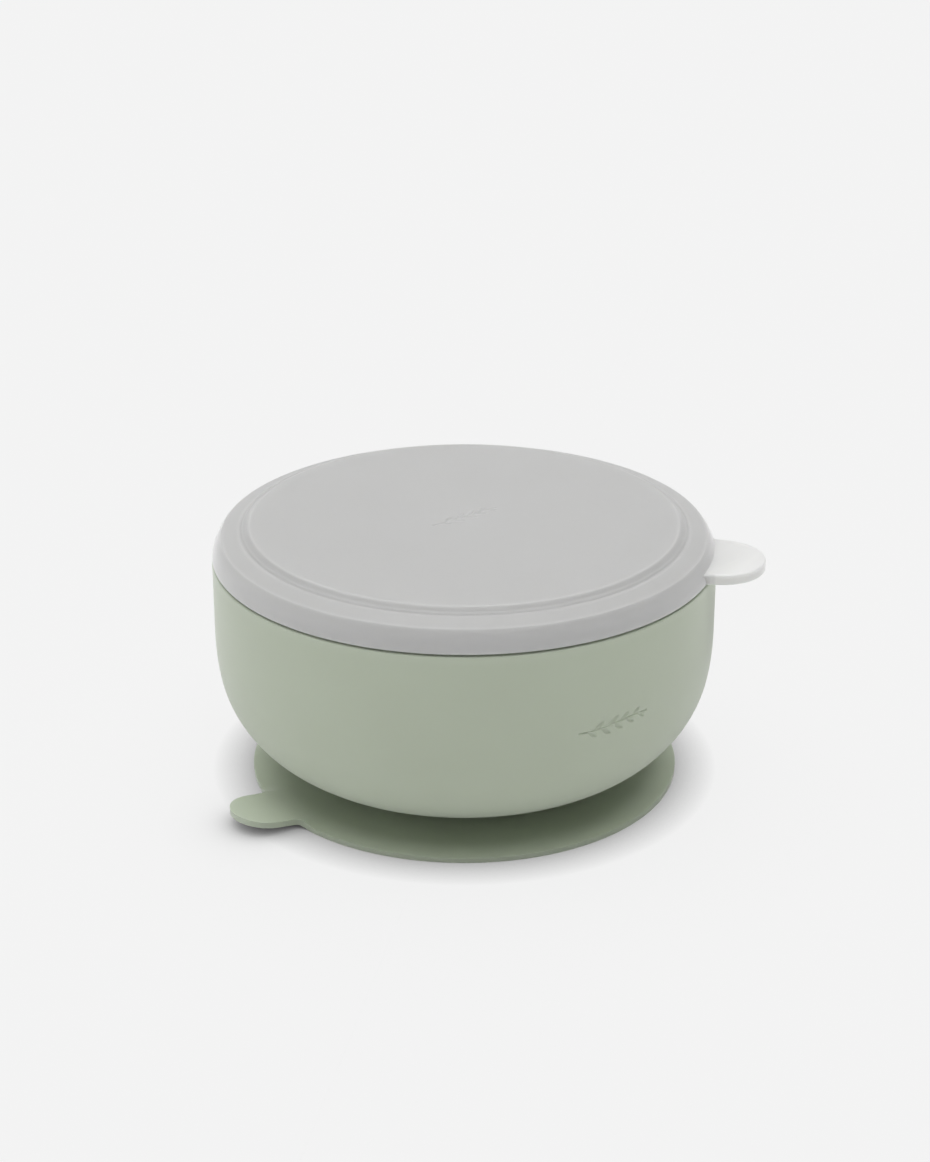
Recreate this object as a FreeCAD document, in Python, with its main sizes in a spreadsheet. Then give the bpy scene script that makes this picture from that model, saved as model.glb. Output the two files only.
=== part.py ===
import FreeCAD, Part
import os
import re
import Sketcher
from FreeCAD import Placement, Rotation, Vector

# A silicone bowl for a small child, with a suction disc under it and a lid that pushes on.
# +Z is up and the table is z = 0. The origin is the centre of the suction disc on the table.
# The release tab points along -X, and the lid's tab points between +X and -Y.
# Lengths are in millimetres and angles in degrees.
SIZES = [
    # bowl
    ("rim_radius", 60.0, "outer radius of the bowl's straight wall"),
    ("bowl_bottom", 4.65, "height of the bowl's flat underside"),
    ("corner_radius", 27.65, "outer radius where the underside turns up"),
    ("side_radius", 59.4, "outer radius of the belly between corner and wall"),
    ("side_turn", 9.45, "angle that the belly turns through"),
    ("wall_thickness", 3.4, "wall and floor"),
    ("shoulder_height", 55.9, "step that the lid's skirt stops above"),
    ("shoulder_depth", 1.7, "width of that step"),
    ("rim_top", 58.9, "top of the rim that stands up inside the lid's skirt"),
    ("rim_taper", 0.8, "how far the rim's outer face leans in"),
    ("rim_round", 0.45, "rounding of the rim's top"),
    # stem between bowl and suction disc
    ("stem_radius", 24.0, "stem that carries the bowl"),
    ("stem_bottom", 2.3, "roof of the suction cavity"),
    # suction disc
    ("disc_radius", 51.9, "outer radius of the suction disc"),
    ("disc_edge", 1.5, "thickness at the disc's edge"),
    ("disc_round", 1.25, "rounding of the disc's top edge"),
    ("seat_radius", 44.0, "inner radius of the flat sealing band"),
    ("seat_step", 0.5, "height of the step behind the sealing band"),
    ("lip_radius", 36.0, "where the firm lip ends and the thin web starts"),
    ("lip_top", 2.9, "top of the lip there"),
    ("lip_underside", 1.2, "underside of the lip there"),
    ("web_gap", 0.3, "room between the web and the stem"),
    ("web_top", 4.0, "top of the web beside the stem"),
    # tab that lets air under the disc
    ("release_width", 15.5, "width of the release tab"),
    ("release_reach", 65.1, "distance from the axis to the tip"),
    ("release_root_top", 2.7, "top of the tab at the disc's edge"),
    ("release_root_bottom", 1.2, "underside of the tab at the disc's edge"),
    ("release_tip_top", 4.55, "top of the tab at the tip"),
    ("release_tip_bottom", 3.05, "underside of the tab at the tip"),
    ("release_round", 0.55, "rounding of the tab's edges"),
    ("release_margin", 5.0, "how far the tab's slopes are drawn past its block"),
    # lid
    ("lid_gap", 0.3, "room between the lid and the bowl"),
    ("lid_skirt", 1.4, "thickness of the lid's skirt"),
    ("skirt_bow", 9.2, "radius of the curve that the skirt leans in by"),
    ("ridge_radius", 57.7, "ridge where the skirt meets the sloping ring"),
    ("ridge_height", 61.35, "height of that ridge"),
    ("ridge_round", 0.6, "rounding of that ridge"),
    ("roof_height", 60.1, "flat underside that the sealing ring hangs from"),
    ("lid_slope", 17.0, "slope of the ring round the centre panel"),
    ("panel_radius", 51.8, "edge of the raised centre panel"),
    ("step_width", 0.6, "width of the step up to the panel"),
    ("step_height", 1.0, "height of the step up to the panel"),
    ("panel_crown", 64.5, "top of the panel at its centre"),
    ("panel_thickness", 1.6, "thickness of the panel"),
    # sealing ring under the lid
    ("seal_thickness", 2.0, "wall of the ring"),
    ("seal_bottom", 51.6, "lower end of the ring"),
    ("seal_round", 0.8, "lead-in round its lower end"),
    # tab that the lid is pulled off by
    ("grip_radius", 11.0, "radius of the lid's tab"),
    ("grip_centre", 60.6, "distance from the axis to the tab's centre"),
    ("grip_thickness", 2.6, "thickness of the tab"),
    ("grip_round", 0.9, "rounding of the tab's edge"),
    ("grip_direction", -45.0, "direction of the tab about the axis"),
    # between a tab and the piece that it hangs on
    ("hinge_gap", 0.25, "width of the flexing line"),
]

doc = FreeCAD.newDocument("SuctionBowl")


def make_sheet():
    sheet = doc.addObject("Spreadsheet::Sheet", "Sizes")
    for row, (alias, number, note) in enumerate(SIZES, start=1):
        sheet.set(f"A{row}", alias)
        sheet.set(f"B{row}", str(number))
        sheet.set(f"C{row}", note)
        sheet.setAlias(f"B{row}", alias)
    doc.recompute()
    return sheet


sheet = make_sheet()


def linked(formula):
    # every alias is words joined by underscores, so nothing else in a formula looks like one
    return re.sub(r"[a-z]+(?:_[a-z]+)+", r"Sizes.\g<0>", formula)


def value(formula):
    return float(sheet.evalExpression(linked(formula)))


# ---- sketches and features -------------------------------------------------------------


def new_body(name):
    body = doc.addObject("PartDesign::Body", name)
    body.Label = name
    return body


def new_sketch(body, name, plane):
    sketch = body.newObject("Sketcher::SketchObject", name)
    planes = {feature.Role: feature for feature in body.Origin.OriginFeatures}
    sketch.AttachmentSupport = [(planes[plane], "")]
    sketch.MapMode = "FlatFace"
    return sketch


def bind(sketch, constraint, name, formula):
    index = sketch.addConstraint(constraint)
    sketch.renameConstraint(index, name)
    sketch.setExpression(f"Constraints.{name}", linked(formula))


def place_point(sketch, edge, end, name, x, y):
    bind(sketch, Sketcher.Constraint("DistanceX", -1, 1, edge, end, value(x)), name + "_x", x)
    bind(sketch, Sketcher.Constraint("DistanceY", -1, 1, edge, end, value(y)), name + "_y", y)


def arc_between(start, end, radius, turn):
    # turn is +1 for an arc that bends left on its way from start to end, -1 for one that bends right
    chord = end - start
    left = Vector(-chord.y, chord.x, 0).normalize()
    reach = (radius**2 - (chord.Length / 2) ** 2) ** 0.5
    centre = (start + end) * 0.5 + left * (turn * reach)
    first, last = (start, end) if turn > 0 else (end, start)
    circle = Part.Circle(centre, Vector(0, 0, 1), radius)
    return Part.ArcOfCircle(circle, circle.parameter(first), circle.parameter(last))


def outline(sketch, name, corners, arcs=None):
    # A closed loop through the corners. arcs gives the edges that are arcs, by the number of the
    # corner they start from, as (radius, turn).
    arcs = arcs or {}
    points = [Vector(value(x), value(y), 0) for x, y in corners]
    ends = []
    for number, start in enumerate(points):
        end = points[(number + 1) % len(points)]
        if number in arcs:
            radius, turn = arcs[number]
            edge = sketch.addGeometry(arc_between(start, end, value(radius), turn), False)
            ends.append((edge, 1, 2) if turn > 0 else (edge, 2, 1))
        else:
            edge = sketch.addGeometry(Part.LineSegment(start, end), False)
            ends.append((edge, 1, 2))
    for number, (edge, first, last) in enumerate(ends):
        following, following_first, _ = ends[(number + 1) % len(ends)]
        sketch.addConstraint(
            Sketcher.Constraint("Coincident", edge, last, following, following_first)
        )
        place_point(sketch, edge, first, f"{name}{number}", *corners[number])
        if number in arcs:
            radius = arcs[number][0]
            limit = Sketcher.Constraint("Radius", edge, value(radius))
            bind(sketch, limit, f"{name}{number}_radius", radius)


def revolved(name, corners, arcs=None):
    body = new_body(name)
    sketch = new_sketch(body, name + "_section", "XZ_Plane")
    outline(sketch, "p", corners, arcs)
    turned = body.newObject("PartDesign::Revolution", name + "_revolved")
    turned.Profile = sketch
    turned.ReferenceAxis = (sketch, ["V_Axis"])
    turned.Angle = 360
    doc.recompute()
    return body


def padded(body, sketch, name, thickness):
    pad = body.newObject("PartDesign::Pad", name)
    pad.Profile = sketch
    pad.setExpression("Length", linked(thickness))
    doc.recompute()
    return pad


def rounded(body, base, name, edges, radius):
    fillet = body.newObject("PartDesign::Fillet", name)
    fillet.Base = (base, edges)
    fillet.setExpression("Radius", linked(radius))
    return fillet


def edges_where(shape, chosen):
    # names of the edges for which chosen(middle point, direction there) holds
    names = []
    for number, edge in enumerate(shape.Edges, start=1):
        if edge.Degenerated:
            continue  # the point where a turned piece meets its axis
        halfway = (edge.FirstParameter + edge.LastParameter) / 2
        if chosen(edge.valueAt(halfway), edge.tangentAt(halfway)):
            names.append(f"Edge{number}")
    return names


def rim_edges(shape, inner):
    # the edges that run round a tab's outline, clear of its root and not from top to bottom
    clear_of_root = inner + 0.1
    steep = 0.7

    def chosen(middle, along):
        return abs(along.z) < steep and Vector(middle.x, middle.y, 0).Length > clear_of_root

    return edges_where(shape, chosen)


def circle_edges(shape, radius, height):
    # the edges of a turned piece that run round the axis at a radius and a height
    near = 0.01

    def chosen(middle, along):
        reach = Vector(middle.x, middle.y, 0).Length
        return abs(reach - radius) < near and abs(middle.z - height) < near

    return edges_where(shape, chosen)


# ---- bowl and stem ---------------------------------------------------------------------

TURN = "(side_turn * 1deg)"
BELLY_TOP = f"(bowl_bottom + corner_radius + (side_radius - corner_radius) * sin{TURN})"
CORNER_X = f"(rim_radius - side_radius + (side_radius - corner_radius) * cos{TURN})"


def wall_line(depth):
    # the wall's line at a depth inside its outer face, from the straight wall down to the axis
    side = f"(side_radius - {depth})"
    return [
        (f"rim_radius - {depth}", BELLY_TOP),
        (f"rim_radius - side_radius + {side} * cos{TURN}", f"{BELLY_TOP} - {side} * sin{TURN}"),
        (CORNER_X, f"bowl_bottom + {depth}"),
        ("0", f"bowl_bottom + {depth}"),
    ]


def make_bowl_shell():
    rim_inner = "rim_radius - wall_thickness"
    rim_outer = "rim_radius - shoulder_depth - rim_taper"
    outer = wall_line("0")
    inner = wall_line("wall_thickness")
    corners = (
        outer
        + inner[::-1]
        + [
            (rim_inner, "rim_top"),
            (rim_outer, "rim_top"),
            ("rim_radius - shoulder_depth", "shoulder_height"),
            ("rim_radius", "shoulder_height"),
        ]
    )
    arcs = {
        0: ("side_radius", -1),
        1: ("corner_radius", -1),
        5: ("corner_radius - wall_thickness", 1),
        6: ("side_radius - wall_thickness", 1),
    }
    body = revolved("bowl_shell", corners, arcs)
    turned = body.Tip
    top = value("rim_top")
    edges = circle_edges(turned.Shape, value(rim_inner), top)
    edges += circle_edges(turned.Shape, value(rim_outer), top)
    body.Tip = rounded(body, turned, "bowl_rim_rounded", edges, "rim_round")
    return body


def make_base_stem():
    corners = [
        ("0", "stem_bottom"),
        ("stem_radius", "stem_bottom"),
        ("stem_radius", "bowl_bottom"),
        ("0", "bowl_bottom"),
    ]
    return revolved("base_stem", corners)


# ---- suction disc ----------------------------------------------------------------------


def make_suction_lip():
    corners = [
        ("seat_radius", "0"),
        ("disc_radius", "0"),
        ("disc_radius", "disc_edge - disc_round"),
        ("disc_radius - disc_round", "disc_edge"),
        ("lip_radius", "lip_top"),
        ("lip_radius", "lip_underside"),
        ("seat_radius - 3 * seat_step", "seat_step"),
    ]
    return revolved("suction_lip", corners, {2: ("disc_round", 1)})


def make_suction_web():
    inner = "stem_radius + web_gap"
    corners = [
        (inner, "stem_bottom"),
        ("lip_radius", "lip_underside"),
        ("lip_radius", "lip_top"),
        (inner, "web_top"),
    ]
    return revolved("suction_web", corners)


def make_release_tab():
    body = new_body("release_tab")
    root = "(disc_radius + hinge_gap)"
    half = "(release_width / 2)"
    root_x = f"sqrt({root}^2 - {half}^2)"
    end_x = f"(release_reach - {half})"
    plan = new_sketch(body, "release_tab_plan", "XY_Plane")
    corners = [
        (root_x, f"-{half}"),
        (end_x, f"-{half}"),
        ("release_reach", "0"),
        (end_x, half),
        (root_x, half),
    ]
    outline(plan, "p", corners, {1: (half, 1), 2: (half, 1), 4: (root, -1)})
    block = padded(body, plan, "release_tab_block", "2 * release_tip_top")

    # above and below the sloping tab, from inside its root to past its tip
    def line(low, high, x):
        return f"{low} + ({high} - {low}) * ({x} - disc_radius) / (release_reach - disc_radius)"

    start, stop = "(disc_radius - release_margin)", "(release_reach + release_margin)"
    top = [line("release_root_top", "release_tip_top", x) for x in (start, stop)]
    bottom = [line("release_root_bottom", "release_tip_bottom", x) for x in (start, stop)]
    side = new_sketch(body, "release_tab_slopes", "XZ_Plane")
    ceiling = "3 * release_tip_top"
    outline(side, "a", [(start, top[0]), (stop, top[1]), (stop, ceiling), (start, ceiling)])
    floor = "-release_margin"
    outline(side, "b", [(start, floor), (stop, floor), (stop, bottom[1]), (start, bottom[0])])
    cut = body.newObject("PartDesign::Pocket", "release_tab_sloped")
    cut.Profile = side
    cut.Type = "ThroughAll"
    cut.Midplane = True
    doc.recompute()
    # the block is about six times as thick as the tab
    largest_share = 0.6
    if cut.Shape.Volume > largest_share * block.Shape.Volume:
        raise RuntimeError("the release tab's slopes cut nothing")
    edges = rim_edges(cut.Shape, value(root))
    body.Tip = rounded(body, cut, "release_tab_rounded", edges, "release_round")
    body.Placement = Placement(Vector(0, 0, 0), Rotation(Vector(0, 0, 1), 180))
    return body


# ---- lid -------------------------------------------------------------------------------

LID_BOTTOM = "(shoulder_height + lid_gap)"
STEP_X = "(panel_radius + step_width)"
STEP_Z = "(ridge_height + (ridge_radius - panel_radius - step_width) * tan(lid_slope * 1deg))"
PANEL_Z = f"({STEP_Z} + step_height)"

# centre of the skirt's curve, from the chord between the skirt's foot and the ridge
CHORD_X = "(rim_radius - ridge_radius)"
CHORD_Z = f"(ridge_height - {LID_BOTTOM})"
CHORD = f"sqrt({CHORD_X}^2 + {CHORD_Z}^2)"
BOW_REACH = f"sqrt(skirt_bow^2 - ({CHORD} / 2)^2)"
BOW_X = f"((rim_radius + ridge_radius) / 2 - {BOW_REACH} * {CHORD_Z} / {CHORD})"
BOW_Z = f"(({LID_BOTTOM} + ridge_height) / 2 - {BOW_REACH} * {CHORD_X} / {CHORD})"


def skirt_inside(height):
    # radius of the skirt's inner face at a height
    return f"{BOW_X} + sqrt((skirt_bow - lid_skirt)^2 - ({height} - {BOW_Z})^2)"


def make_lid_cap():
    corners = [
        ("rim_radius", LID_BOTTOM),
        ("ridge_radius", "ridge_height"),
        (STEP_X, STEP_Z),
        ("panel_radius", PANEL_Z),
        ("0", "panel_crown"),
        ("0", "panel_crown - panel_thickness"),
        ("panel_radius - step_width", f"{PANEL_Z} - panel_thickness"),
        ("panel_radius + step_width", "roof_height"),
        (skirt_inside("roof_height"), "roof_height"),
        (skirt_inside(LID_BOTTOM), LID_BOTTOM),
    ]
    body = revolved("lid_cap", corners, {0: ("skirt_bow", 1), 8: ("skirt_bow - lid_skirt", -1)})
    turned = body.Tip
    edges = circle_edges(turned.Shape, value("ridge_radius"), value("ridge_height"))
    body.Tip = rounded(body, turned, "lid_ridge_rounded", edges, "ridge_round")
    return body


def make_lid_seal_ring():
    outer = "(rim_radius - wall_thickness - lid_gap)"
    inner = f"({outer} - seal_thickness)"
    corners = [
        (inner, "seal_bottom"),
        (f"{outer} - seal_round", "seal_bottom"),
        (outer, "seal_bottom + seal_round"),
        (outer, "roof_height"),
        (inner, "roof_height"),
    ]
    return revolved("lid_seal_ring", corners, {1: ("seal_round", 1)})


def make_lid_tab():
    body = new_body("lid_tab")
    root = "(rim_radius + hinge_gap)"
    root_x = f"(({root}^2 - grip_radius^2 + grip_centre^2) / (2 * grip_centre))"
    root_y = f"sqrt({root}^2 - {root_x}^2)"
    plan = new_sketch(body, "lid_tab_plan", "XY_Plane")
    tip = ("grip_centre + grip_radius", "0")
    corners = [(root_x, f"-{root_y}"), tip, (root_x, root_y)]
    outline(plan, "p", corners, {0: ("grip_radius", 1), 1: ("grip_radius", 1), 2: (root, -1)})
    block = padded(body, plan, "lid_tab_block", "grip_thickness")
    edges = rim_edges(block.Shape, value(root))
    body.Tip = rounded(body, block, "lid_tab_rounded", edges, "grip_round")
    turn = Rotation(Vector(0, 0, 1), value("grip_direction"))
    body.Placement = Placement(Vector(0, 0, value(LID_BOTTOM)), turn)
    return body


# ---- document, test and files ----------------------------------------------------------


def test(parts):
    for item in doc.Objects:
        if "Invalid" in item.State or "Error" in item.State:
            raise RuntimeError(f"{item.Label} is in state {item.State}")
    for body in parts:
        if body.Shape.isNull() or not body.Shape.isValid():
            raise RuntimeError(f"{body.Label} has no valid shape")


def export(parts):
    os.makedirs("parts", exist_ok=True)
    for body in parts:
        body.Shape.exportStep(f"parts/{body.Label}.step")
        box = body.Shape.BoundBox
        print(f"{body.Label}: {body.Shape.Volume / 1000:.2f} cm3, z {box.ZMin:.2f} to {box.ZMax:.2f}")


parts = [
    make_suction_lip(),
    make_suction_web(),
    make_release_tab(),
    make_base_stem(),
    make_bowl_shell(),
    make_lid_cap(),
    make_lid_seal_ring(),
    make_lid_tab(),
]
doc.recompute()
test(parts)
export(parts)
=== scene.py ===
from math import asin, atan2, cos, degrees, hypot, pi, radians, sin, sqrt, tan

import bmesh
import bpy
from mathutils import Matrix, Vector
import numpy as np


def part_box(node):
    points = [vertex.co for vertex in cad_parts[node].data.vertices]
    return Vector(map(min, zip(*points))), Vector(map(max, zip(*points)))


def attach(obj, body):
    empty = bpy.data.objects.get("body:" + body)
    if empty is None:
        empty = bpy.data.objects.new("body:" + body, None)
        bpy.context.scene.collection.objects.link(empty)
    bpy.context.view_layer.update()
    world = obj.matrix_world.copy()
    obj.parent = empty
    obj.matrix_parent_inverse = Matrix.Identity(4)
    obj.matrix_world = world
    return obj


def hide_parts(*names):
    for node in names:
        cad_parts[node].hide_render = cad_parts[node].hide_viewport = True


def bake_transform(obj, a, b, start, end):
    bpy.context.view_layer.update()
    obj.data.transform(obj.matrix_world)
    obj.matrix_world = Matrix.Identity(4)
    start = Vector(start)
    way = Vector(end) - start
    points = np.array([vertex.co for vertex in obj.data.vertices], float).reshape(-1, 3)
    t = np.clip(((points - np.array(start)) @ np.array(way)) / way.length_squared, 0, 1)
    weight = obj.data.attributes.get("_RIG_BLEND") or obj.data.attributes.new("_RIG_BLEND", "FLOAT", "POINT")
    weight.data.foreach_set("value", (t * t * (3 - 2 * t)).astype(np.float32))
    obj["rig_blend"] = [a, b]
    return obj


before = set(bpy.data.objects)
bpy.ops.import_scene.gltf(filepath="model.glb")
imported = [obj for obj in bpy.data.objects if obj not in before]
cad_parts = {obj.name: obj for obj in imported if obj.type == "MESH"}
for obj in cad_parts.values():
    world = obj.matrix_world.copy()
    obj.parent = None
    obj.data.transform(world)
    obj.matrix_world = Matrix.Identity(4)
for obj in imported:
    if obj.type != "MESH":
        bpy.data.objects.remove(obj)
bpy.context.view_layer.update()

mm = 0.001


def nodeBox(node):
    # lowest and highest corner of a CAD node, in millimetres
    low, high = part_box(node)
    return low / mm, high / mm


# The camera comes first. The product stands in front of it, turned so that the release
# tab is at the left and the lid's tab at the right.
view = {
    "azimuth": -34.3,  # degrees round the bowl, 0 looks along +Y
    "distance": 547.2,  # mm from the bowl's axis, level
    "height": 284.8,  # mm above the table
    "pitch": 23.42,  # degrees down
    "yaw": 0.016,
    "lens": 76.96,  # mm, on a 36 mm sensor
}


def makeCamera():
    turn = radians(view["azimuth"])
    data = bpy.data.cameras.new("camera")
    data.lens = view["lens"]
    data.sensor_width = 36
    data.clip_start = 0.01
    data.clip_end = 20
    camera = bpy.data.objects.new("camera", data)
    level = view["distance"] * mm
    camera.location = (sin(turn) * level, -cos(turn) * level, view["height"] * mm)
    camera.rotation_euler = (radians(90 - view["pitch"]), 0, turn - radians(view["yaw"]))
    bpy.context.scene.collection.objects.link(camera)
    bpy.context.scene.camera = camera


makeCamera()
print("camera placed")


# Small tools for the meshes. Every size below is in millimetres.


def arc(centreX, centreY, radius, start, stop, count):
    # points along an arc, from start to stop degrees
    turns = [radians(start + (stop - start) * step / count) for step in range(count + 1)]
    return [(centreX + radius * cos(a), centreY + radius * sin(a)) for a in turns]


def line(start, stop, count):
    # points between two ends, without the ends
    shares = [step / count for step in range(1, count)]
    return [
        (start[0] + (stop[0] - start[0]) * s, start[1] + (stop[1] - start[1]) * s)
        for s in shares
    ]


def smoothStep(low, high, value):
    share = min(max((value - low) / (high - low), 0), 1)
    return share * share * (3 - 2 * share)


def turned(section, steps):
    # a closed section of (radius, height) points, spun round the axis
    bm = bmesh.new()
    verts = [bm.verts.new((r, 0, z)) for r, z in section]
    ring = [bm.edges.new((a, b)) for a, b in zip(verts, verts[1:] + verts[:1])]
    onAxis = [edge for edge in ring if all(abs(v.co.x) < 1e-6 for v in edge.verts)]
    for edge in onAxis:
        bm.edges.remove(edge)
    geometry = verts + [edge for edge in ring if edge not in onAxis]
    bmesh.ops.spin(
        bm, geom=geometry, cent=(0, 0, 0), axis=(0, 0, 1), angle=2 * pi, steps=steps, use_merge=True
    )
    bmesh.ops.remove_doubles(bm, verts=bm.verts, dist=1e-4)
    bmesh.ops.recalc_face_normals(bm, faces=bm.faces)
    return bm


wornRadius = 1.2  # mm, outward curves this tight or tighter are worn


def convexity(vert, widest):
    # how sharply the surface turns outwards at a vertex, 1 at a radius of widest or less
    sharpest = 0
    for edge in vert.link_edges:
        if len(edge.link_faces) == 2:
            bend = edge.calc_face_angle_signed(0)
            reach = min(face.calc_area() for face in edge.link_faces) / edge.calc_length()
            sharpest = max(sharpest, bend / max(reach, 0.05))
    return min(sharpest * widest, 1)


def finished(bm, name, material, smoothAngle=38):
    # a mesh object in metres, smooth except where faces meet at more than the angle
    worn = [convexity(vert, wornRadius) for vert in bm.verts]
    bmesh.ops.scale(bm, vec=(mm, mm, mm), verts=bm.verts)
    mesh = bpy.data.meshes.new(name)
    bm.to_mesh(mesh)
    bm.free()
    mesh.shade_smooth()
    mesh.set_sharp_from_angle(angle=radians(smoothAngle))
    attribute = mesh.attributes.new("edgeWear", "FLOAT", "POINT")
    attribute.data.foreach_set("value", worn)
    mesh.materials.append(material)
    piece = bpy.data.objects.new(name, mesh)
    bpy.context.scene.collection.objects.link(piece)
    return piece


def tongueOutline(discRadius, tip, width, rootFillet, spacing):
    # plan outline of a disc with one round tongue along +X, counter-clockwise from the
    # tongue's root; tip is the centre of the tongue's end and width half its breadth
    straight = sqrt((discRadius + rootFillet) ** 2 - (width + rootFillet) ** 2)
    if straight < tip:
        centre = (straight, width + rootFillet)
    else:
        # no room for straight sides, so the fillet touches the round end itself
        x = ((discRadius + rootFillet) ** 2 - (width + rootFillet) ** 2 + tip**2) / (2 * tip)
        centre = (x, sqrt((discRadius + rootFillet) ** 2 - x**2))
    discAngle = degrees(atan2(centre[1], centre[0]))
    endAngle = min(degrees(atan2(centre[1], centre[0] - tip)), 90)
    # the tip, from its side to its middle, then the fillet and half the disc
    fine = spacing * 0.45
    end = arc(tip, 0, width, 0, endAngle, max(6, round(radians(endAngle) * width / fine)))
    sides = line(end[-1], (centre[0], width), 6) if straight < tip else []
    filletStart = 270 if straight < tip else 180 + endAngle
    turn = filletStart - (180 + discAngle)
    fillet = arc(*centre, rootFillet, filletStart, filletStart - turn, 7)
    disc = arc(0, 0, discRadius, discAngle, 180, round(radians(180 - discAngle) * discRadius / spacing))
    half = end + sides + fillet + disc[1:]
    return half + [(x, -y) for x, y in half[-2:0:-1]]


def sprig(x, y):
    # depth from 0 to 1 of a small pressed-in sprig, 20 mm long, at a place on its plate
    stem = abs(y - 0.5 * sin(x / 4.5)) - 0.22
    nearest = max(stem, abs(x) - 9.6)
    for number in range(9):
        side = 1 if number % 2 else -1
        base = -7.4 + number * 1.75
        lean = radians(34) * side
        size = 1.75 - 0.1 * abs(number - 3)
        along = Vector((cos(lean), sin(lean)))
        offset = Vector((x - base, y - 0.5 * sin(base / 4.5))) - along * (size + 0.1)
        u, v = offset.dot(along), offset.dot(Vector((-along.y, along.x)))
        # a leaf is the overlap of two circles, so that it is pointed at both ends
        width = 0.34 * size
        bow = (size * size + width * width) / (2 * width)
        leaf = hypot(u, abs(v) + bow - width) - bow
        nearest = min(nearest, leaf)
    return 1 - smoothStep(-0.3, 0.15, nearest)


# Materials


def linearColour(hexColour):
    channels = [int(hexColour[i : i + 2], 16) / 255 for i in (1, 3, 5)]
    return [c / 12.92 if c <= 0.04045 else ((c + 0.055) / 1.055) ** 2.4 for c in channels] + [1]


def addNode(material, kind, settings=None, inputs=None, links=None):
    # a node with its own settings, its sockets' values, and what feeds its sockets
    node = material.node_tree.nodes.new(kind)
    for key, value in (settings or {}).items():
        setattr(node, key, value)
    for key, value in (inputs or {}).items():
        node.inputs[key].default_value = value
    for key, source in (links or {}).items():
        material.node_tree.links.new(source, node.inputs[key])
    return node


def newMaterial(name):
    material = bpy.data.materials.new(name)
    material.use_nodes = True
    material.node_tree.nodes.clear()
    return material


bowlSilicone = {
    "colour": "#c8d2be",  # sage pigment
    "cloud": "#c3ccb8",  # slightly uneven pigment
    "worn": "#d0d9c8",  # chalky where hands and washing polish the edges
    "grain": 0.55,  # mm, spark-eroded mould skin, drawn as coarse as it needs to show
    "cloudSize": 22.0,  # mm
    "roughness": 0.56,
    "bump": 0.010,  # mm
    "wear": 0.3,
}


def pressedSageSilicone():
    # compression-moulded silicone rubber from a spark-eroded mould: satin, soft, no sparkle
    look = bowlSilicone
    material = newMaterial("pressed_sage_silicone")
    place = addNode(material, "ShaderNodeTexCoord").outputs["Object"]
    cloud = addNode(
        material,
        "ShaderNodeTexNoise",
        inputs={"Scale": 1 / (look["cloudSize"] * mm), "Detail": 3, "Roughness": 0.5},
        links={"Vector": place},
    )
    grain = addNode(
        material,
        "ShaderNodeTexNoise",
        inputs={"Scale": 1 / (look["grain"] * mm), "Detail": 2, "Roughness": 0.6},
        links={"Vector": place},
    )
    pigment = addNode(
        material,
        "ShaderNodeMix",
        {"data_type": "RGBA"},
        {"A": linearColour(look["colour"]), "B": linearColour(look["cloud"])},
        {"Factor": cloud.outputs["Fac"]},
    )
    wear = addNode(material, "ShaderNodeAttribute", {"attribute_name": "edgeWear"})
    wearShare = addNode(
        material,
        "ShaderNodeMath",
        {"operation": "MULTIPLY"},
        {1: look["wear"]},
        {0: wear.outputs["Fac"]},
    )
    colour = addNode(
        material,
        "ShaderNodeMix",
        {"data_type": "RGBA"},
        {"B": linearColour(look["worn"])},
        {"Factor": wearShare.outputs["Value"], "A": pigment.outputs["Result"]},
    )
    roughness = addNode(
        material,
        "ShaderNodeMapRange",
        inputs={"To Min": look["roughness"] - 0.05, "To Max": look["roughness"] + 0.05},
        links={"Value": grain.outputs["Fac"]},
    )
    bump = addNode(
        material,
        "ShaderNodeBump",
        inputs={"Strength": 0.6, "Distance": look["bump"] * mm},
        links={"Height": grain.outputs["Fac"]},
    )
    shader = addNode(
        material,
        "ShaderNodeBsdfPrincipled",
        inputs={
            "IOR": 1.41,
            "Subsurface Weight": 0.12,
            "Subsurface Radius": (0.9, 1.0, 0.7),
            "Subsurface Scale": 1.0 * mm,
            "Sheen Weight": 0.4,
            "Sheen Roughness": 0.45,
        },
        links={
            "Base Color": colour.outputs["Result"],
            "Roughness": roughness.outputs["Result"],
            "Normal": bump.outputs["Normal"],
        },
    )
    addNode(material, "ShaderNodeOutputMaterial", links={"Surface": shader.outputs["BSDF"]})
    return material


lidSilicone = {
    "colour": "#b9b9b8",  # painted shade: the milky silicone made greyer for the dark hollow bowl seen through it
    "cloud": "#b7b7b6",
    "thin": "#dededd",  # painted light: lighter where daylight would come through from behind
    # on the lid this is partly chalky wear and partly a painted highlight along the ridge
    "worn": "#dededc",
    "grain": 0.45,  # mm, spark-eroded mould skin
    "cloudSize": 16.0,  # mm
    "roughness": 0.46,
    "bump": 0.006,  # mm
    "wear": 0.1,
}


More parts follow.
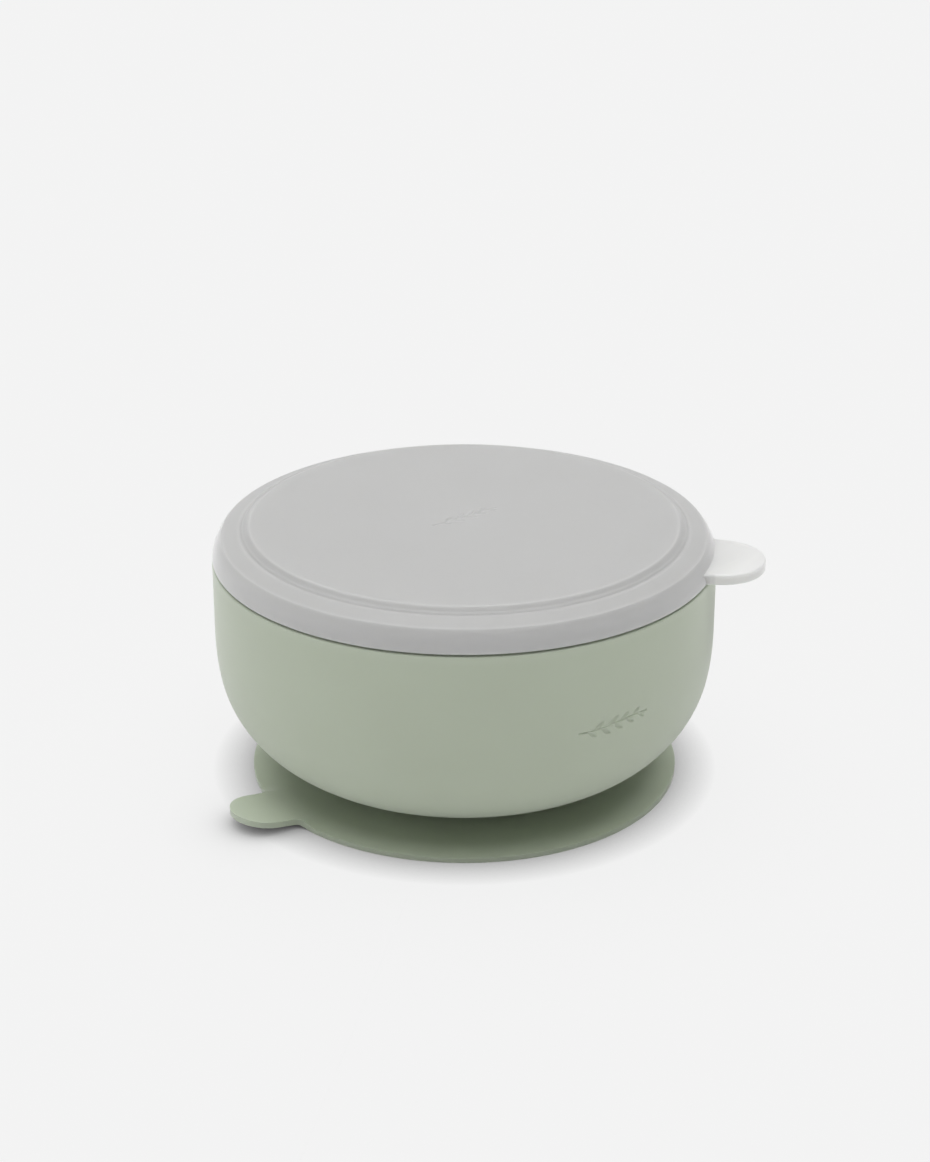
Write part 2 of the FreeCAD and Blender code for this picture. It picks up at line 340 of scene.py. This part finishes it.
def pressedMilkySilicone():
    # unpigmented silicone rubber: milky, lets some light through; the light through thin parts is painted in
    # as a lighter colour
    look = lidSilicone
    material = newMaterial("pressed_milky_silicone")
    place = addNode(material, "ShaderNodeTexCoord").outputs["Object"]
    cloud = addNode(
        material,
        "ShaderNodeTexNoise",
        inputs={"Scale": 1 / (look["cloudSize"] * mm), "Detail": 2},
        links={"Vector": place},
    )
    grain = addNode(
        material,
        "ShaderNodeTexNoise",
        inputs={"Scale": 1 / (look["grain"] * mm), "Detail": 2, "Roughness": 0.6},
        links={"Vector": place},
    )
    # painted light: how much of the lighter glow of light through the silicone is painted in
    thin = addNode(material, "ShaderNodeAttribute", {"attribute_name": "paintedGlowMask"})
    wear = addNode(material, "ShaderNodeAttribute", {"attribute_name": "edgeWear"})
    body = addNode(
        material,
        "ShaderNodeMix",
        {"data_type": "RGBA"},
        {"A": linearColour(look["colour"]), "B": linearColour(look["cloud"])},
        {"Factor": cloud.outputs["Fac"]},
    )
    paintedLit = addNode(
        material,
        "ShaderNodeMix",
        {"data_type": "RGBA"},
        {"B": linearColour(look["thin"])},
        {"Factor": thin.outputs["Fac"], "A": body.outputs["Result"]},
    )
    # edge wear; on the lid it also paints a highlight along the ridge
    wearShare = addNode(
        material,
        "ShaderNodeMath",
        {"operation": "MULTIPLY"},
        {1: look["wear"]},
        {0: wear.outputs["Fac"]},
    )
    colour = addNode(
        material,
        "ShaderNodeMix",
        {"data_type": "RGBA"},
        {"B": linearColour(look["worn"])},
        {"Factor": wearShare.outputs["Value"], "A": paintedLit.outputs["Result"]},
    )
    roughness = addNode(
        material,
        "ShaderNodeMapRange",
        inputs={"To Min": look["roughness"] - 0.04, "To Max": look["roughness"] + 0.04},
        links={"Value": grain.outputs["Fac"]},
    )
    bump = addNode(
        material,
        "ShaderNodeBump",
        inputs={"Strength": 0.5, "Distance": look["bump"] * mm},
        links={"Height": grain.outputs["Fac"]},
    )
    shader = addNode(
        material,
        "ShaderNodeBsdfPrincipled",
        inputs={
            "IOR": 1.41,
            "Subsurface Weight": 0.85,
            "Subsurface Radius": (1.0, 1.0, 0.95),
            "Subsurface Scale": 5.0 * mm,
            "Sheen Weight": 0.9,
            "Sheen Roughness": 0.35,
        },
        links={
            "Base Color": colour.outputs["Result"],
            "Roughness": roughness.outputs["Result"],
            "Normal": bump.outputs["Normal"],
        },
    )
    addNode(material, "ShaderNodeOutputMaterial", links={"Surface": shader.outputs["BSDF"]})
    return material


sageSilicone = pressedSageSilicone()
milkySilicone = pressedMilkySilicone()
print("materials made")


# The bowl: a thick shell with a step round its rim that the lid's skirt stops above

bowlLow, bowlHigh = nodeBox("bowl_shell")
lidLow, lidHigh = nodeBox("lid_cap")
bowl = {
    "radius": bowlHigh.x,
    "bottom": bowlLow.z,
    "rimTop": bowlHigh.z,
    "wall": 3.4,
    "cornerRadius": 27.65,
    "sideRadius": 59.4,
    "sideTurn": 9.45,  # degrees
    "shoulder": lidLow.z - 0.5,
    "shoulderDepth": 1.7,
    "shoulderRound": 0.5,
    "rimTaper": 0.8,
    "rimRound": 0.45,
    "steps": 256,
    "markHeight": 34.6,
    "markDepth": 0.36,
    "markHalfWidth": 12.4,
    "markHalfHeight": 4.0,
}
bellySpan = bowl["sideRadius"] - bowl["cornerRadius"]
bowl["cornerHeight"] = bowl["bottom"] + bowl["cornerRadius"]
bowl["bellyTop"] = bowl["cornerHeight"] + bellySpan * sin(radians(bowl["sideTurn"]))
bowl["sideCentre"] = bowl["radius"] - bowl["sideRadius"]
bowl["cornerCentre"] = bowl["sideCentre"] + bellySpan * cos(radians(bowl["sideTurn"]))


def bowlSection():
    b = bowl
    turn, rim = b["sideTurn"], b["rimRound"]
    inner = b["radius"] - b["wall"]
    foot = b["radius"] - b["shoulderDepth"]
    rimOuter = foot - b["rimTaper"]
    edge = b["shoulderRound"]
    outside = arc(b["radius"] - edge, b["shoulder"] - edge, edge, 90, 0, 5)
    outside += line(outside[-1], (b["radius"], b["bellyTop"]), 10)
    outside += arc(b["sideCentre"], b["bellyTop"], b["sideRadius"], 0, -turn, 6)
    outside += arc(b["cornerCentre"], b["cornerHeight"], b["cornerRadius"], -turn, -90, 26)[1:]
    outside += [(22.0, b["bottom"]), (0, b["bottom"])]
    depth = b["wall"]
    inside = [(0, b["bottom"] + depth)]
    inside += line(inside[0], (b["cornerCentre"], b["bottom"] + depth), 5)
    inside += arc(b["cornerCentre"], b["cornerHeight"], b["cornerRadius"] - depth, -90, -turn, 24)
    inside += arc(b["sideCentre"], b["bellyTop"], b["sideRadius"] - depth, -turn, 0, 5)[1:]
    inside += line(inside[-1], (inner, b["rimTop"] - rim), 10)
    lean = degrees(atan2(b["rimTaper"], b["rimTop"] - b["shoulder"]))
    rimLine = arc(inner + rim, b["rimTop"] - rim, rim, 180, 90, 6)
    rimLine += arc(rimOuter - rim, b["rimTop"] - rim, rim, 90, lean, 6)
    rimLine += arc(foot + 0.3, b["shoulder"] + 0.3, 0.3, 180 + lean, 270, 4)
    return outside + inside + rimLine


def bowlRadiusAt(height):
    # outer radius of the straight wall and the belly
    if height >= bowl["bellyTop"]:
        return bowl["radius"]
    return bowl["sideCentre"] + sqrt(bowl["sideRadius"] ** 2 - (bowl["bellyTop"] - height) ** 2)


def pressBowlMark(bm):
    # a finer patch at the front of the bowl, curved to the wall, with the sprig pressed in
    b = bowl

    def onPatch(place, margin):
        facing = abs(atan2(place.x, -place.y)) * b["radius"] < b["markHalfWidth"] + margin
        level = abs(place.z - b["markHeight"]) < b["markHalfHeight"] + margin
        outer = hypot(place.x, place.y) > b["radius"] - b["wall"] / 2
        return facing and level and outer

    faces = [face for face in bm.faces if onPatch(face.calc_center_median(), 0)]
    edges = list({edge for face in faces for edge in face.edges})
    bmesh.ops.subdivide_edges(bm, edges=edges, cuts=8, use_grid_fill=True)
    for vert in bm.verts:
        if onPatch(vert.co, 1):
            height = vert.co.z
            facing = atan2(vert.co.x, -vert.co.y)
            depth = b["markDepth"] * sprig(facing * b["radius"], height - b["markHeight"])
            radius = bowlRadiusAt(height) - depth
            vert.co = Vector((radius * sin(facing), -radius * cos(facing), height))


def makeBowl():
    bm = turned(bowlSection(), bowl["steps"])
    pressBowlMark(bm)
    piece = finished(bm, "bowlShell", sageSilicone)
    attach(piece, "bowl")
    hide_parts("bowl_shell")


makeBowl()
print("bowl made")


# The stem and the web that join the bowl to its suction disc

stemLow, stemHigh = nodeBox("base_stem")
webLow, webHigh = nodeBox("suction_web")
lipLow, lipHigh = nodeBox("suction_lip")
web = {
    "outer": webHigh.x,
    "inner": stemHigh.x,
    "lipTop": lipHigh.z,
    "lipUnder": webLow.z,
    "top": webHigh.z,
    "roof": stemLow.z,
    "flare": 0.6,  # fillet from the stem to the bowl's underside
    "buried": 0.2,  # how far the stem runs on into the bowl's floor
    "steps": 192,
}


def makeStem():
    w = web
    top = bowl["bottom"]
    section = [(0, w["roof"] + 0.25)]
    section += line(section[0], (w["inner"] - 1.5, w["roof"]), 6)
    section += [(w["inner"] - 1.5, w["roof"]), (w["inner"], w["roof"])]
    section += arc(w["inner"] + w["flare"], top - w["flare"], w["flare"], 180, 95, 5)
    section += [(w["inner"] + w["flare"], top + w["buried"]), (0, top + w["buried"])]
    piece = finished(turned(section, w["steps"]), "baseStem", sageSilicone)
    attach(piece, "bowl")
    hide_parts("base_stem")


def makeWeb():
    w = web
    under, over = (w["inner"], w["roof"]), (w["inner"], w["top"])
    section = [under] + line(under, (w["outer"], w["lipUnder"]), 6)
    section += [(w["outer"], w["lipUnder"]), (w["outer"], w["lipTop"])]
    section += line((w["outer"], w["lipTop"]), over, 6) + [over]
    piece = finished(turned(section, w["steps"]), "suctionWeb", sageSilicone)
    low, high = (0, 0, w["lipUnder"] * mm), (0, 0, w["top"] * mm)
    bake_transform(piece, "suction_base", "bowl", start=low, end=high)
    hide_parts("suction_web")


makeStem()
makeWeb()
print("stem and web made")


# The suction disc's lip with its release tab, one moulding

tabLow, tabHigh = nodeBox("release_tab")
disc = {
    "radius": lipHigh.x,
    "edge": 1.5,
    "rollWidth": 2.6,  # the top rolls over to the edge across this width
    "rollHeight": 1.05,
    "underRoll": 0.3,
    "tabRoll": 0.6,  # the tab's edges are rounded above
    "tabUnderRoll": 2.4,  # and curl up further below
    "tabUnderHeight": 0.75,
    "seat": 44.0,
    "seatStep": 0.5,
    "tabHalf": tabHigh.y,
    "tabReach": -tabLow.x,
    "tabFillet": 3.2,
    "tabRootTop": 2.7,
    "tabTipTop": 4.55,
    "tabThickness": 1.5,
    "tabFrom": 45.0,  # where the tab's top starts to lift off the disc's
    "spacing": 1.4,
    "rings": 18,
    "rollRings": 7,
}


def tabLine(x):
    # top of the tab, at its place along the tab
    d = disc
    slope = (d["tabTipTop"] - d["tabRootTop"]) / (d["tabReach"] - d["radius"])
    return d["tabRootTop"] + slope * (x - d["radius"])


def onTab(x, y):
    # 0 on the disc, 1 on the tab
    d = disc
    along = smoothStep(d["tabFrom"], d["radius"] + 0.5, x)
    across = 1 - smoothStep(d["tabHalf"] + 0.5, d["tabHalf"] + 4.0, abs(y))
    return along * across


def discTop(x, y):
    d, r = disc, hypot(x, y)
    slope = (web["lipTop"] - d["edge"]) / (d["radius"] - d["rollWidth"] - web["outer"])
    plate = web["lipTop"] - slope * (min(r, d["radius"]) - web["outer"])
    return plate + (tabLine(x) - plate) * onTab(x, y)


def discUnderside(x, y):
    d, r = disc, hypot(x, y)
    rise = (web["lipUnder"] - d["seatStep"]) / (d["seat"] - 1.5 - web["outer"])
    cavity = d["seatStep"] * smoothStep(0, 1.5, d["seat"] - r) + rise * max(d["seat"] - 1.5 - r, 0)
    # the sealing band stays whole under the tab's root, and the tab lifts off beyond it
    lifted = smoothStep(d["radius"] - 1.2, d["radius"] + 1.4, r) * (1 if x > 0 and abs(y) < 14 else 0)
    return cavity + (tabLine(x) - d["tabThickness"] - cavity) * lifted * onTab(x, y)


def rolled(inward, width, height):
    # how far a rolled edge has dropped, at a distance inwards from the outline
    share = max(1 - inward / width, 0)
    return height * (1 - sqrt(1 - share * share))


def makeDisc():
    d = disc
    bm = bmesh.new()
    inward = bm.verts.layers.float.new("inward")
    tipCentre = d["tabReach"] - d["tabHalf"]
    plan = tongueOutline(d["radius"], tipCentre, d["tabHalf"], d["tabFillet"], d["spacing"])
    core = bm.faces.new([bm.verts.new((x, y, 0)) for x, y in plan])
    # narrow bands round the outline, closer together towards the edge, for the rolled rim
    reached = 0
    for number in range(1, d["rollRings"] + 1):
        depth = d["rollWidth"] * (1 - cos(radians(90 * number / d["rollRings"])))
        bmesh.ops.inset_region(bm, faces=[core], thickness=depth - reached, use_even_offset=True)
        for vert in core.verts:
            vert[inward] = depth
        reached = depth
    rim = list(core.edges)
    bmesh.ops.delete(bm, geom=[core], context="FACES_ONLY")
    # from the innermost band inwards to the web
    grown = bmesh.ops.extrude_edge_only(bm, edges=rim)["geom"]
    for vert in [part for part in grown if isinstance(part, bmesh.types.BMVert)]:
        vert.co = vert.co.normalized() * web["outer"]
    spokes = [
        edge
        for edge in bm.edges
        if min(v.co.length for v in edge.verts) < web["outer"] + 0.01
        and max(v.co.length for v in edge.verts) > web["outer"] + 1
    ]
    bmesh.ops.subdivide_edges(bm, edges=spokes, cuts=d["rings"], use_grid_fill=True)
    # an even plate first, then its real top and underside
    solid = bmesh.ops.extrude_face_region(bm, geom=list(bm.faces))["geom"]
    lifted = [part for part in solid if isinstance(part, bmesh.types.BMVert)]
    bmesh.ops.translate(bm, vec=(0, 0, d["edge"]), verts=lifted)
    for vert in bm.verts:
        x, y, z = vert.co
        tab = onTab(x, y) * smoothStep(d["radius"] - 1, d["radius"] + 2, x)
        if z > d["edge"] / 2:
            width = d["rollWidth"] + (d["tabRoll"] - d["rollWidth"]) * tab
            height = d["rollHeight"] + (d["tabRoll"] - d["rollHeight"]) * tab
            vert.co.z = discTop(x, y) - rolled(vert[inward], width, height)
        else:
            width = d["underRoll"] + (d["tabUnderRoll"] - d["underRoll"]) * tab
            height = d["underRoll"] + (d["tabUnderHeight"] - d["underRoll"]) * tab
            vert.co.z = discUnderside(x, y) + rolled(vert[inward], width, height)
    bmesh.ops.rotate(bm, cent=(0, 0, 0), matrix=Matrix.Rotation(pi, 3, "Z"), verts=bm.verts)
    bmesh.ops.recalc_face_normals(bm, faces=bm.faces)
    bm.verts.layers.float.remove(inward)
    piece = finished(bm, "suctionDisc", sageSilicone)
    start = Vector((-(d["radius"] - 1.4) * mm, 0, 0))
    end = Vector((-(d["radius"] + 6.1) * mm, 0, 0))
    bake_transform(piece, "suction_base", "release_tab", start=start, end=end)
    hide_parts("suction_lip", "release_tab")


makeDisc()
print("suction disc made")


# The lid with its pull tab, one moulding, and the sealing ring inside it

gripLow, gripHigh = nodeBox("lid_tab")
sealLow, sealHigh = nodeBox("lid_seal_ring")
lid = {
    "radius": lidHigh.x,
    "bottom": lidLow.z,
    "crown": lidHigh.z,
    "skirt": 1.4,
    "skirtBow": 9.2,  # the skirt leans in along a gentle curve
    "ridgeRadius": 57.7,
    "ridgeHeight": 61.35,
    "ridgeRound": 0.6,
    "roof": sealHigh.z,
    "slope": 17.0,  # degrees
    "panelRadius": 51.8,
    "stepWidth": 0.6,
    "stepHeight": 1.0,
    "grooveWidth": 1.0,
    "grooveDepth": 0.14,
    "stepSoftness": 1.3,  # how far the step's top runs on into the panel
    "panelThickness": 1.6,
    "steps": 256,
    "gripRadius": 11.0,
    "gripCentre": 60.6,
    "gripFillet": 1.8,
    "gripWall": 59.3,  # the skirt's radius at the top of the tab
    "gripBuried": 0.4,  # how far the tab's root runs into the skirt
    "gripBottom": gripLow.z,
    "gripTop": gripHigh.z,
    "gripRound": 0.45,
    "gripDirection": -45.0,  # degrees
    "markDepth": 0.2,
    "markReach": 12.4,
    "markRings": 50,
}


def skirtCentre():
    # centre of the skirt's curve, from the chord between its foot and the ridge
    p = lid
    across, up = p["radius"] - p["ridgeRadius"], p["ridgeHeight"] - p["bottom"]
    chord = hypot(across, up)
    reach = sqrt(p["skirtBow"] ** 2 - (chord / 2) ** 2)
    x = (p["radius"] + p["ridgeRadius"]) / 2 - reach * up / chord
    return x, (p["bottom"] + p["ridgeHeight"]) / 2 - reach * across / chord


def lidSection():
    p = lid
    centreX, centreZ = skirtCentre()
    bow, edge, tilt = p["skirtBow"], p["ridgeRound"], radians(p["slope"])
    inner = bow - p["skirt"]
    # where the ridge's rounding leaves the skirt
    above = (p["ridgeRadius"] - centreX) * sin(tilt) + (p["ridgeHeight"] - centreZ) * cos(tilt)
    leave = asin((above - edge) / (bow - edge)) - tilt
    roundX, roundZ = centreX + (bow - edge) * cos(leave), centreZ + (bow - edge) * sin(leave)
    lip = 0.3
    foot = degrees(asin((p["bottom"] + lip - centreZ) / bow))
    outside = arc(p["radius"] - lip, p["bottom"] + lip, lip, -90, 0, 4)[:-1]
    outside += arc(centreX, centreZ, bow, foot, degrees(leave), 12)
    outside += arc(roundX, roundZ, edge, degrees(leave), 90 - p["slope"], 6)[1:]
    stepFoot = p["panelRadius"] + p["stepWidth"]
    footHeight = p["ridgeHeight"] + (p["ridgeRadius"] - stepFoot) * tan(tilt)
    panelEdge = footHeight + p["stepHeight"]
    grooveEnd = stepFoot + 0.2 + p["grooveWidth"]
    outside += line(outside[-1], (grooveEnd, footHeight - (grooveEnd - stepFoot) * tan(tilt)), 6)
    # a shallow groove, a soft step up to the panel, then its crown
    for share in (0, 0.2, 0.4, 0.6, 0.8):
        x = grooveEnd - p["grooveWidth"] * share
        ring = footHeight - (x - stepFoot) * tan(tilt)
        outside.append((x, ring - p["grooveDepth"] * sin(pi * share)))
    width = p["stepWidth"] + p["stepSoftness"]
    for share in (0, 0.12, 0.24, 0.36, 0.5, 0.64, 0.76, 0.88, 1):
        climb = smoothStep(0, 1, share)
        outside.append((stepFoot + 0.2 - width * share, footHeight + p["stepHeight"] * climb))
    rise = p["crown"] - panelEdge
    crown = [0.97, 0.93, 0.87, 0.8, 0.7, 0.6, 0.5, 0.4, 0.3]
    # close rings in the middle, fine enough for the pressed mark
    middle = p["markReach"] / p["panelRadius"]
    crown += [middle * (1 - ring / p["markRings"]) for ring in range(p["markRings"] + 1)]
    for share in crown:
        outside.append((p["panelRadius"] * share, panelEdge + rise * (1 - share**2)))
    under = panelEdge - p["panelThickness"]
    reach = p["panelRadius"] - p["stepWidth"]
    inside = [(0, under + rise)]
    inside += [(reach * s, under + rise * (1 - s**2)) for s in (0.2, 0.4, 0.6, 0.8, 1)]
    inside += [(stepFoot, p["roof"])]
    top = degrees(asin((p["roof"] - centreZ) / inner))
    low = degrees(asin((p["bottom"] - centreZ) / inner))
    inside += arc(centreX, centreZ, inner, top, low, 8)
    return outside + inside


def makeGrip():
    # the pull tab's plate, with its root inside the skirt
    p = lid
    plan = tongueOutline(p["gripWall"], p["gripCentre"], p["gripRadius"], p["gripFillet"], 1.2)
    root = p["gripWall"] - p["gripBuried"]
    reach = p["gripRadius"] + 2 * p["gripFillet"]
    outside = [(x, y) for x, y in plan if abs(y) < reach and x > 0]
    outside.sort(key=lambda place: atan2(place[1], place[0]))
    spread = degrees(asin(reach / p["gripWall"]))
    plate = outside + arc(0, 0, root, spread, -spread, 24)
    bm = bmesh.new()
    face = bm.faces.new([bm.verts.new((x, y, p["gripBottom"])) for x, y in plate])
    grown = bmesh.ops.extrude_face_region(bm, geom=[face])["geom"]
    lifted = [part for part in grown if isinstance(part, bmesh.types.BMVert)]
    bmesh.ops.translate(bm, vec=(0, 0, p["gripTop"] - p["gripBottom"]), verts=lifted)
    bmesh.ops.recalc_face_normals(bm, faces=bm.faces)
    rounds = [
        edge
        for edge in bm.edges
        if abs(edge.verts[0].co.z - edge.verts[1].co.z) < 1e-5
        and min(hypot(v.co.x, v.co.y) for v in edge.verts) > p["gripWall"] - 0.01
    ]
    bmesh.ops.bevel(
        bm, geom=rounds, offset=p["gripRound"], segments=4, profile=0.5, affect="EDGES", material=-1
    )
    turn = Matrix.Rotation(radians(p["gripDirection"]), 3, "Z")
    bmesh.ops.rotate(bm, cent=(0, 0, 0), matrix=turn, verts=bm.verts)
    return bm


def pressLidMark(bm):
    # the same sprig, fainter, in the middle of the panel
    for vert in bm.verts:
        place = vert.co
        if hypot(place.x, place.y) < lid["markReach"] and place.z > lid["crown"] - 1:
            place.z -= lid["markDepth"] * sprig(place.x, place.y)


def meshObject(bm, name):
    mesh = bpy.data.meshes.new(name)
    bm.to_mesh(mesh)
    bm.free()
    piece = bpy.data.objects.new(name, mesh)
    bpy.context.scene.collection.objects.link(piece)
    return piece


def makeLid():
    p = lid
    cap = meshObject(turned(lidSection(), p["steps"]), "lidCap")
    grip = meshObject(makeGrip(), "gripPlate")
    joined = cap.modifiers.new("joined", "BOOLEAN")
    joined.operation = "UNION"
    joined.solver = "EXACT"
    joined.object = grip
    bpy.context.view_layer.update()
    whole = bpy.data.meshes.new_from_object(cap.evaluated_get(bpy.context.evaluated_depsgraph_get()))
    bm = bmesh.new()
    bm.from_mesh(whole)
    for spare in (cap, grip):
        bpy.data.objects.remove(spare)
    bmesh.ops.remove_doubles(bm, verts=bm.verts, dist=1e-3)
    pressLidMark(bm)
    outwards = Vector((cos(radians(p["gripDirection"])), sin(radians(p["gripDirection"])), 0))
    # painted light: the glow of daylight through the tab and shoulder, kept per vertex
    thin = [paintedGlowMask(vert.co, outwards) for vert in bm.verts]
    piece = finished(bm, "lidAndTab", milkySilicone)
    attribute = piece.data.attributes.new("paintedGlowMask", "FLOAT", "POINT")
    attribute.data.foreach_set("value", thin)
    start, end = outwards * (p["radius"] - 0.5) * mm, outwards * (p["radius"] + 3) * mm
    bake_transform(piece, "lid", "lid_tab", start=start, end=end)
    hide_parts("lid_cap", "lid_tab")


def paintedGlowMask(place, outwards):
    # where light through the silicone is painted: 1 on the tab, which has daylight behind it, a little on
    # the shoulder, 0 on the panel
    reach = place.dot(outwards)
    tab = smoothStep(lid["radius"] - 0.4, lid["radius"] + 1.2, reach)
    shoulder = 0.6 * smoothStep(57.2, 59.6, hypot(place.x, place.y))
    return max(tab, shoulder)


seal = {
    "outer": sealHigh.x,
    "bottom": sealLow.z,
    "top": sealHigh.z + 0.3,  # runs on into the lid
    "wall": 2.0,
    "lead": 0.8,  # rounding that guides it into the bowl
    "innerRound": 0.4,
    "rib": 0.25,
    "ribHeights": (2.6, 5.0),  # above the ring's bottom
    "steps": 192,
}


def makeSealRing():
    r = seal
    low, lead, rib, edge = r["bottom"], r["lead"], r["rib"], r["innerRound"]
    inner, face = r["outer"] - r["wall"], r["outer"] - r["rib"]
    section = arc(inner + edge, low + edge, edge, 180, 270, 4)
    section += arc(face - lead, low + lead, lead, -90, 0, 6)
    # two ribs that press against the bowl's wall
    for height in r["ribHeights"]:
        section += arc(face, low + height, rib, -90, 90, 6)
    section += [(face, r["top"]), (inner, r["top"])]
    piece = finished(turned(section, r["steps"]), "sealRing", milkySilicone)
    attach(piece, "lid")
    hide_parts("lid_seal_ring")


makeLid()
makeSealRing()
print("lid made")


# Floor and light: a white sweep, which the camera sees as one painted pale tone with a painted contact
# shadow, under one broad overhead softbox and weaker ones round it

studio = {
    "size": 6,  # metres from the middle to a side
    "paper": "#ebebeb",
    "sweep": "#f3f3f3",  # the paper's tone as the camera sees it, painted as a glow
    "paperShare": 0.06,  # how much of the paper's own shading shows
    "contact": 16.5,  # mm, how far out from the bowl the painted contact shadow reaches
    "fill": 0.03,
    # degrees round from the camera, degrees up, degrees across, strength
    "softboxes": {
        "overhead": (180, 85, 75, 3.05),
        "left": (270, 18, 60, 0.38),
        "right": (90, 14, 50, 0.1),
        "behind": (180, 20, 60, 0.6),
        "front": (0, 12, 50, 0.16),
    },
}


def makeFloor():
    bm = bmesh.new()
    bmesh.ops.create_grid(bm, x_segments=1, y_segments=1, size=studio["size"])
    mesh = bpy.data.meshes.new("floor")
    bm.to_mesh(mesh)
    bm.free()
    material = newMaterial("matt_white_paper")
    paper = addNode(
        material,
        "ShaderNodeBsdfDiffuse",
        inputs={"Color": linearColour(studio["paper"])},
    )
    # to the camera the sweep is painted: one pale glowing tone, with a painted contact shadow at the bowl
    # from the occlusion node
    contact = addNode(
        material,
        "ShaderNodeAmbientOcclusion",
        {"samples": 16},
        {"Distance": studio["contact"] * mm, "Color": linearColour(studio["sweep"])},
    )
    # the painted tone and painted shadow glow for camera rays only
    paintedLit = addNode(material, "ShaderNodeEmission", links={"Color": contact.outputs["Color"]})
    seen = addNode(material, "ShaderNodeLightPath")
    share = addNode(
        material,
        "ShaderNodeMath",
        {"operation": "MULTIPLY"},
        {1: 1 - studio["paperShare"]},
        {0: seen.outputs["Is Camera Ray"]},
    )
    shown = addNode(
        material,
        "ShaderNodeMixShader",
        links={0: share.outputs["Value"], 1: paper.outputs["BSDF"], 2: paintedLit.outputs["Emission"]},
    )
    addNode(material, "ShaderNodeOutputMaterial", links={"Surface": shown.outputs["Shader"]})
    mesh.materials.append(material)
    floor = bpy.data.objects.new("floor", mesh)
    bpy.context.scene.collection.objects.link(floor)


def makeSoftbox(name, turn, up, across, strength):
    # a far, wide lamp, so that the light is even all over the floor
    light = bpy.data.lights.new(name, "SUN")
    light.energy = strength
    light.angle = radians(across)
    lamp = bpy.data.objects.new(name, light)
    around, rise = radians(view["azimuth"] + turn), radians(up)
    towards = Vector((sin(around) * cos(rise), -cos(around) * cos(rise), sin(rise)))
    lamp.rotation_euler = towards.to_track_quat("Z", "Y").to_euler()
    bpy.context.scene.collection.objects.link(lamp)


def makeLight():
    world = bpy.data.worlds.new("studio")
    world.use_nodes = True
    # a dim room that the camera sees as the same pale sweep
    sky = world.node_tree.nodes["Background"]
    sky.inputs["Color"].default_value = linearColour(studio["sweep"])
    seen = addNode(world, "ShaderNodeLightPath")
    strength = addNode(
        world,
        "ShaderNodeMapRange",
        inputs={"To Min": studio["fill"], "To Max": 1},
        links={"Value": seen.outputs["Is Camera Ray"]},
    )
    world.node_tree.links.new(strength.outputs["Result"], sky.inputs["Strength"])
    bpy.context.scene.world = world
    for name, place in studio["softboxes"].items():
        makeSoftbox(name, *place)
    bpy.context.scene.view_settings.view_transform = "Standard"


makeFloor()
makeLight()
print("stage set")
